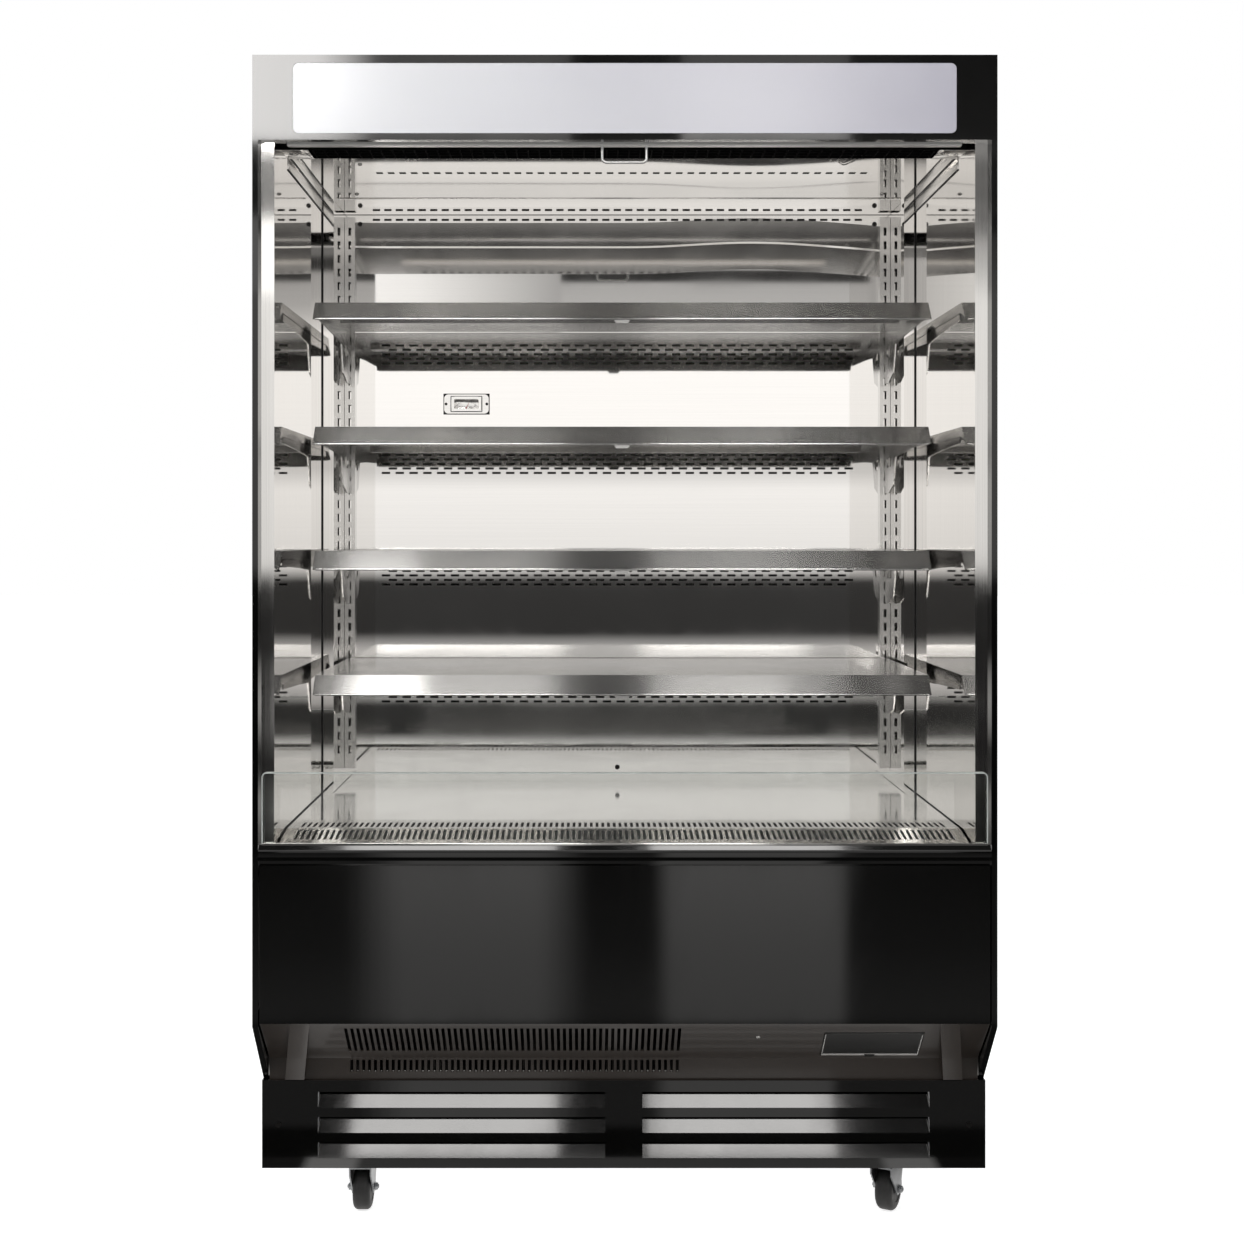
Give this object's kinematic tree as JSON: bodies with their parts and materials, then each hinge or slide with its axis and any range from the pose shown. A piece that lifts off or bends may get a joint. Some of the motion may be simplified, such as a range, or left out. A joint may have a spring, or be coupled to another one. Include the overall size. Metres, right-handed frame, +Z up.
{
  "type": "open multideck display fridge",
  "caption": "Open-front refrigerated display case with mirror-steel shelves, lit sign header, night curtain, glass guard, sloping undercut and casters.",
  "frame": {"origin": "on the floor under the middle of the cabinet's outer box", "axes": "+X to the shopper's right, +Y from the shopper towards the back, +Z up"},
  "size_m": [1.28, 0.818, 2.045],
  "materials": {
    "painted_black_panel": "gloss black powder coat, smooth, mirror-like",
    "polished_liner": "mirror-polished stainless sheet, slightly wavy",
    "edge_trim_steel": "polished stainless strip",
    "shelf_steel": "bright stainless, fine lengthwise grain",
    "bracket_steel": "satin stainless",
    "galvanised_sheet": "galvanised sheet with faint spangle",
    "insulation_skin": "foam core with sheet skin",
    "black_outlet": "black moulded cells",
    "sign_white": "white translucent acrylic, satin",
    "light_strip": "white diffuser",
    "cassette_grey": "satin anodised",
    "curtain_cloth": "silver-grey woven night blind",
    "curtain_bar_aluminium": "satin anodised",
    "thermometer_shell": "pale moulded plastic",
    "guard_glass": "clear toughened glass, polished edges",
    "black_plastic": "moulded black",
    "flap_smoke": "dark smoked window",
    "screw_steel": "plated",
    "coil_fins": "stamped fins",
    "fan_plastic": "moulded black",
    "compressor_black": "black enamel",
    "zinc_caster": "bright zinc plate",
    "caster_tyre": "black rubber tread on a hard hub",
    "pedal_black": "moulded black"
  },
  "bodies": {
    "cabinet": {"air_honeycomb": "black_outlet", "back_duct_panel": "polished_liner", "back_panel": "galvanised_sheet", "base_pan": "galvanised_sheet", "bumper_rail": "painted_black_panel", "caster_plates": "zinc_caster", "ceiling_duct_cover": "polished_liner", "ceiling_panel": "polished_liner", "compressor": "compressor_black", "condenser_coil": "coil_fins", "condenser_fan_plate": "galvanised_sheet", "controller_box": "black_plastic", "cord_gland": "black_plastic", "corner_posts": "polished_liner", "curtain_cassette": "cassette_grey", "curtain_sheet": "curtain_cloth", "deck_pan": "shelf_steel", "drip_tray": "galvanised_sheet", "evaporator_coil": "coil_fins", "evaporator_fan_deck": "galvanised_sheet", "foam_body": "insulation_skin", "glass_guard": "guard_glass", "header_box": "painted_black_panel", "lower_front_panel": "painted_black_panel", "plinth_grille": "painted_black_panel", "plinth_sides": "painted_black_panel", "return_air_grille": "shelf_steel", "screws": "screw_steel", "shelf_brackets": "bracket_steel", "shelf_uprights": "bracket_steel", "side_edge_trims": "edge_trim_steel", "side_panel_left": "painted_black_panel", "side_panel_right": "painted_black_panel", "side_wall_left": "polished_liner", "side_wall_right": "polished_liner", "sign_lens": "sign_white", "sign_light_bars": "light_strip", "thermometer": "thermometer_shell", "top_panel": "painted_black_panel", "undercut_panel": "painted_black_panel"},
    "curtain_bar": {"curtain_bar": "curtain_bar_aluminium"},
    "curtain_roller": {"curtain_roller": "curtain_cloth"},
    "shelf_1": {"shelf_tray_1": "shelf_steel"},
    "shelf_2": {"shelf_tray_2": "shelf_steel"},
    "shelf_3": {"shelf_tray_3": "shelf_steel"},
    "shelf_4": {"shelf_tray_4": "shelf_steel"},
    "controller_flap": {"controller_flap": "flap_smoke"},
    "condenser_fan": {"condenser_fan": "fan_plastic"},
    "evaporator_fan_left": {"evaporator_fan_left": "fan_plastic"},
    "evaporator_fan_right": {"evaporator_fan_right": "fan_plastic"},
    "caster_front_left": {"caster_fork_front_left": "zinc_caster"},
    "wheel_front_left": {"caster_wheel_front_left": "caster_tyre"},
    "pedal_front_left": {"caster_pedal_front_left": "pedal_black"},
    "caster_front_right": {"caster_fork_front_right": "zinc_caster"},
    "wheel_front_right": {"caster_wheel_front_right": "caster_tyre"},
    "pedal_front_right": {"caster_pedal_front_right": "pedal_black"},
    "caster_rear_left": {"caster_fork_rear_left": "zinc_caster"},
    "wheel_rear_left": {"caster_wheel_rear_left": "caster_tyre"},
    "caster_rear_right": {"caster_fork_rear_right": "zinc_caster"},
    "wheel_rear_right": {"caster_wheel_rear_right": "caster_tyre"}
  },
  "joints": [
    {"name": "curtain_pull", "type": "slide", "parent": "cabinet", "child": "curtain_bar", "axis": [0, 0, -1], "range_m": [0, 1.08], "stiffness_N_per_m": 8, "springref_m": -1.5, "deforming": ["curtain_sheet"]},
    {"name": "curtain_roller_turn", "type": "hinge", "parent": "cabinet", "child": "curtain_roller", "pos_m": [0, -0.359, 1.958], "axis": [1, 0, 0], "range_deg": [0, 4010]},
    {"name": "shelf_1_lift", "type": "slide", "parent": "cabinet", "child": "shelf_1", "axis": [0, 0, 1], "range_m": [0, 0.03]},
    {"name": "shelf_2_lift", "type": "slide", "parent": "cabinet", "child": "shelf_2", "axis": [0, 0, 1], "range_m": [0, 0.03]},
    {"name": "shelf_3_lift", "type": "slide", "parent": "cabinet", "child": "shelf_3", "axis": [0, 0, 1], "range_m": [0, 0.03]},
    {"name": "shelf_4_lift", "type": "slide", "parent": "cabinet", "child": "shelf_4", "axis": [0, 0, 1], "range_m": [0, 0.03]},
    {"name": "controller_flap_hinge", "type": "hinge", "parent": "cabinet", "child": "controller_flap", "pos_m": [0.434, -0.38051, 0.35695], "axis": [-1, 0, 0], "range_deg": [0, 95]},
    {"name": "condenser_fan_spin", "type": "hinge", "parent": "cabinet", "child": "condenser_fan", "pos_m": [-0.19, -0.207, 0.24], "axis": [0, 1, 0], "continuous": true},
    {"name": "evaporator_fan_left_spin", "type": "hinge", "parent": "cabinet", "child": "evaporator_fan_left", "pos_m": [-0.27, -0.167, 0.562], "axis": [0, 1, 0], "continuous": true},
    {"name": "evaporator_fan_right_spin", "type": "hinge", "parent": "cabinet", "child": "evaporator_fan_right", "pos_m": [0.27, -0.167, 0.562], "axis": [0, 1, 0], "continuous": true},
    {"name": "caster_front_left_swivel", "type": "hinge", "parent": "cabinet", "child": "caster_front_left", "pos_m": [-0.47, -0.2805, 0.09], "axis": [0, 0, 1], "continuous": true},
    {"name": "wheel_front_left_roll", "type": "hinge", "parent": "caster_front_left", "child": "wheel_front_left", "pos_m": [-0.47, -0.2555, 0.039], "axis": [-1, 0, 0], "continuous": true},
    {"name": "pedal_front_left_press", "type": "hinge", "parent": "caster_front_left", "child": "pedal_front_left", "pos_m": [-0.47, -0.2355, 0.081], "axis": [-1, 0, 0], "range_deg": [0, 10]},
    {"name": "caster_front_right_swivel", "type": "hinge", "parent": "cabinet", "child": "caster_front_right", "pos_m": [0.47, -0.2805, 0.09], "axis": [0, 0, 1], "continuous": true},
    {"name": "wheel_front_right_roll", "type": "hinge", "parent": "caster_front_right", "child": "wheel_front_right", "pos_m": [0.48135, -0.25822, 0.039], "axis": [-0.891, 0.454, 0], "continuous": true},
    {"name": "pedal_front_right_press", "type": "hinge", "parent": "caster_front_right", "child": "pedal_front_right", "pos_m": [0.49043, -0.24041, 0.081], "axis": [-0.891, 0.454, 0], "range_deg": [0, 10]},
    {"name": "caster_rear_left_swivel", "type": "hinge", "parent": "cabinet", "child": "caster_rear_left", "pos_m": [-0.47, 0.281, 0.09], "axis": [0, 0, 1], "continuous": true},
    {"name": "wheel_rear_left_roll", "type": "hinge", "parent": "caster_rear_left", "child": "wheel_rear_left", "pos_m": [-0.46739, 0.30586, 0.039], "axis": [-0.9945, 0.1045, 0], "continuous": true},
    {"name": "caster_rear_right_swivel", "type": "hinge", "parent": "cabinet", "child": "caster_rear_right", "pos_m": [0.47, 0.281, 0.09], "axis": [0, 0, 1], "continuous": true},
    {"name": "wheel_rear_right_roll", "type": "hinge", "parent": "caster_rear_right", "child": "wheel_rear_right", "pos_m": [0.46695, 0.30581, 0.039], "axis": [-0.9925, -0.1219, 0], "continuous": true}
  ],
  "couplings": [
    {"joint": "curtain_roller_turn", "follows": "curtain_pull", "rad_per_m": 64.516}
  ]
}
